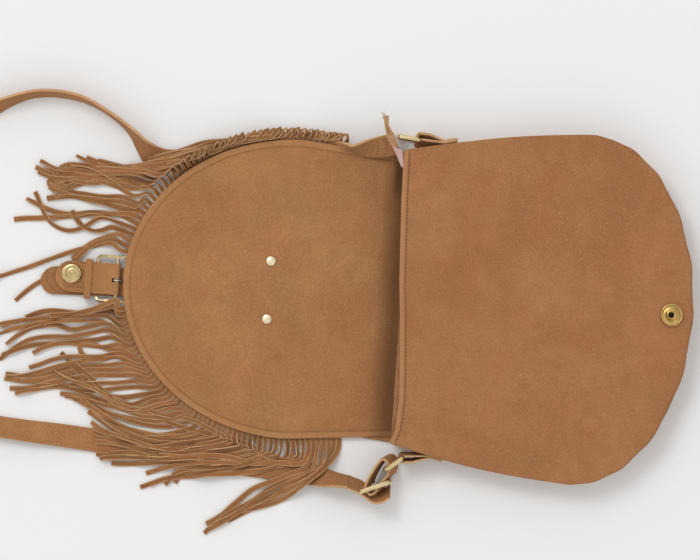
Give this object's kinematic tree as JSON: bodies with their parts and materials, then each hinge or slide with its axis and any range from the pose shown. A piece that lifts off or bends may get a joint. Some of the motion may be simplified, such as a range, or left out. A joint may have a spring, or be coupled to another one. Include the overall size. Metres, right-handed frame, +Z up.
{
  "type": "fringed suede shoulder bag",
  "caption": "Flat D-shaped suede shoulder bag lying open, with a fringed flap, a buckled strap closure with a snap, and a looped shoulder strap on metal rings.",
  "frame": {"origin": "middle of the bag's mouth, on the outer face of the back panel that it lies on", "axes": "+X from the mouth to the bag's bottom, +Y across the bag to its far side, +Z up through the bag from its back panel"},
  "size_m": [0.6402, 0.3439, 0.033],
  "materials": {
    "suede": "napped suede",
    "dark_suede": "napped suede",
    "gold": "polished",
    "steel": "polished",
    "lining_cloth": "woven"
  },
  "bodies": {
    "bag": {"back_panel": "suede", "front_panel": "suede", "gusset": "suede", "lining": "lining_cloth", "front_facing": "dark_suede", "back_facing": "suede", "facing_end": "suede", "far_ring_tab": "suede", "near_ring_tab": "suede", "snap_socket": "gold", "snap_socket_washer": "steel", "shoulder_strap": "suede"},
    "flap": {"flap_outer": "suede", "flap_lining": "suede", "fringe_far": "suede", "fringe_near": "suede", "rivet_post_far": "gold", "rivet_post_near": "gold", "rivet_cap_far": "gold", "rivet_cap_near": "gold", "closure_billet": "dark_suede", "closure_chape": "suede", "closure_keeper": "suede", "closure_buckle": "gold", "snap_stud": "gold", "snap_stud_washer": "steel"},
    "closure_prong": {"closure_prong": "steel"},
    "far_ring": {"far_ring": "gold", "strap_end_loop": "suede"},
    "near_ring": {"near_ring": "gold", "strap_chape": "suede", "strap_buckle": "gold", "strap_tail": "suede"},
    "strap_prong": {"strap_prong": "steel"}
  },
  "joints": [
    {"name": "flap_fold", "type": "hinge", "parent": "bag", "child": "flap", "pos_m": [-0.024, 0, 0.025], "axis": [0, 1, 0], "range_deg": [0, 178]},
    {"name": "far_ring_swing", "type": "hinge", "parent": "bag", "child": "far_ring", "pos_m": [0.0065, 0.12579, 0.0137], "axis": [0, 0, 1], "range_deg": [-15, 4]},
    {"name": "near_ring_swing", "type": "hinge", "parent": "bag", "child": "near_ring", "pos_m": [0.0105, -0.12757, 0.0137], "axis": [0, 0, 1], "range_deg": [-15, 15]},
    {"name": "closure_prong_turn", "type": "hinge", "parent": "flap", "child": "closure_prong", "pos_m": [-0.227, -0.0017, 0.0077], "axis": [0, 1, 0], "range_deg": [0, 12]},
    {"name": "strap_prong_turn", "type": "hinge", "parent": "near_ring", "child": "strap_prong", "pos_m": [-0.00948, -0.15236, 0.0137], "axis": [0, 0, 1], "range_deg": [0, 12]}
  ]
}
